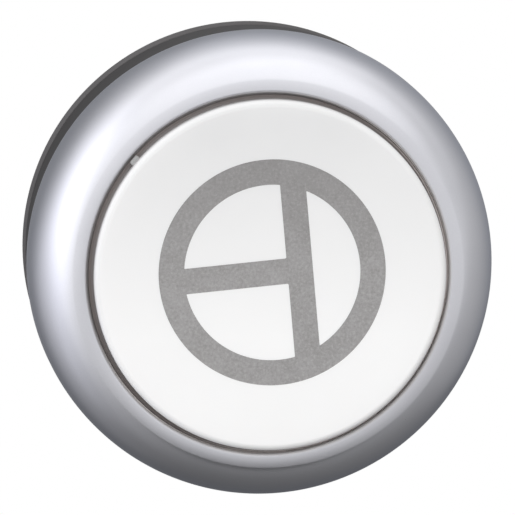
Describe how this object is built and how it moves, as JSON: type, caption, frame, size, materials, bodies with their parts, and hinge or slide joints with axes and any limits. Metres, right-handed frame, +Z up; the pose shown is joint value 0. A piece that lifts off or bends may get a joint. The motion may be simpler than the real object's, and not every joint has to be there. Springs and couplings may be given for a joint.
{
  "type": "panel push button",
  "caption": "Flush momentary push button head: convex satin metal ring, white round cap with a grey line symbol, dark threaded barrel with clamp nut and built-in changeover switch.",
  "frame": {"origin": "where the button's axis meets the rear face of the panel gasket, which lies on the front face of the panel", "axes": "+Z up, the side of the anti-rotation key; the button's face looks along -Y; +X to the right seen from the front"},
  "size_m": [0.0296, 0.0465, 0.0296],
  "materials": {
    "bezel_metal": "satin",
    "white_cap": "satin",
    "grey_symbol": "matte",
    "black_body": "satin",
    "rubber_grey": "matte",
    "rubber_black": "matte",
    "dark_carrier": "matte",
    "plunger_plastic": "satin",
    "spring_steel": "bright drawn wire",
    "zinc_steel": "zinc plated",
    "nut_plastic": "satin",
    "switch_plastic": "matte",
    "base_plastic": "matte",
    "slider_plastic": "satin",
    "brass": "rolled",
    "silver": "satin",
    "tinned_brass": "tin plated"
  },
  "bodies": {
    "housing": {"housing": "black_body", "bezel_ring": "bezel_metal", "bezel_o_ring": "rubber_black", "panel_gasket": "rubber_grey", "shaft_seal": "rubber_black", "seal_retainer": "zinc_steel", "return_spring": "spring_steel", "switch_case": "switch_plastic", "terminal_base": "base_plastic", "base_screws": "zinc_steel", "barrel_snap_ring": "spring_steel", "fixed_contact_tips": "silver", "slider_spring": "spring_steel", "nc_terminal_right": "tinned_brass", "nc_terminal_left": "tinned_brass", "no_terminal_right": "tinned_brass", "no_terminal_left": "tinned_brass"},
    "button": {"button_cap": "white_cap", "symbol_inlay": "grey_symbol", "cap_carrier": "dark_carrier", "plunger": "plunger_plastic", "plunger_clip": "spring_steel"},
    "slider": {"contact_slider": "slider_plastic"},
    "bridge": {"contact_bridge": "brass", "bridge_tips": "silver", "contact_spring": "spring_steel"},
    "washer": {"clamp_washer": "zinc_steel"},
    "nut": {"locking_nut": "nut_plastic"}
  },
  "joints": [
    {"name": "button_press", "type": "slide", "parent": "housing", "child": "button", "axis": [0, 1, 0], "range_m": [0, 0.0045], "stiffness_N_per_m": 600, "springref_m": -0.005, "deforming": ["return_spring"]},
    {"name": "slider_travel", "type": "slide", "parent": "housing", "child": "slider", "axis": [0, 1, 0], "range_m": [0, 0.0045], "deforming": ["slider_spring"]},
    {"name": "bridge_travel", "type": "slide", "parent": "housing", "child": "bridge", "axis": [0, 1, 0], "range_m": [0, 0.00178], "deforming": ["contact_spring"]},
    {"name": "clamp_travel", "type": "slide", "parent": "housing", "child": "washer", "axis": [0, 1, 0], "range_m": [-0.00225, 0.024]},
    {"name": "nut_turn", "type": "hinge", "parent": "washer", "child": "nut", "pos_m": [0, 0, 0], "axis": [0, 1, 0], "range_deg": [-540, 5760]}
  ],
  "couplings": [
    {"joint": "slider_travel", "follows": "button_press", "ratio": 1},
    {"joint": "bridge_travel", "follows": "button_press", "ratio": 0.395},
    {"joint": "nut_turn", "follows": "clamp_travel", "rad_per_m": 4188.8}
  ]
}
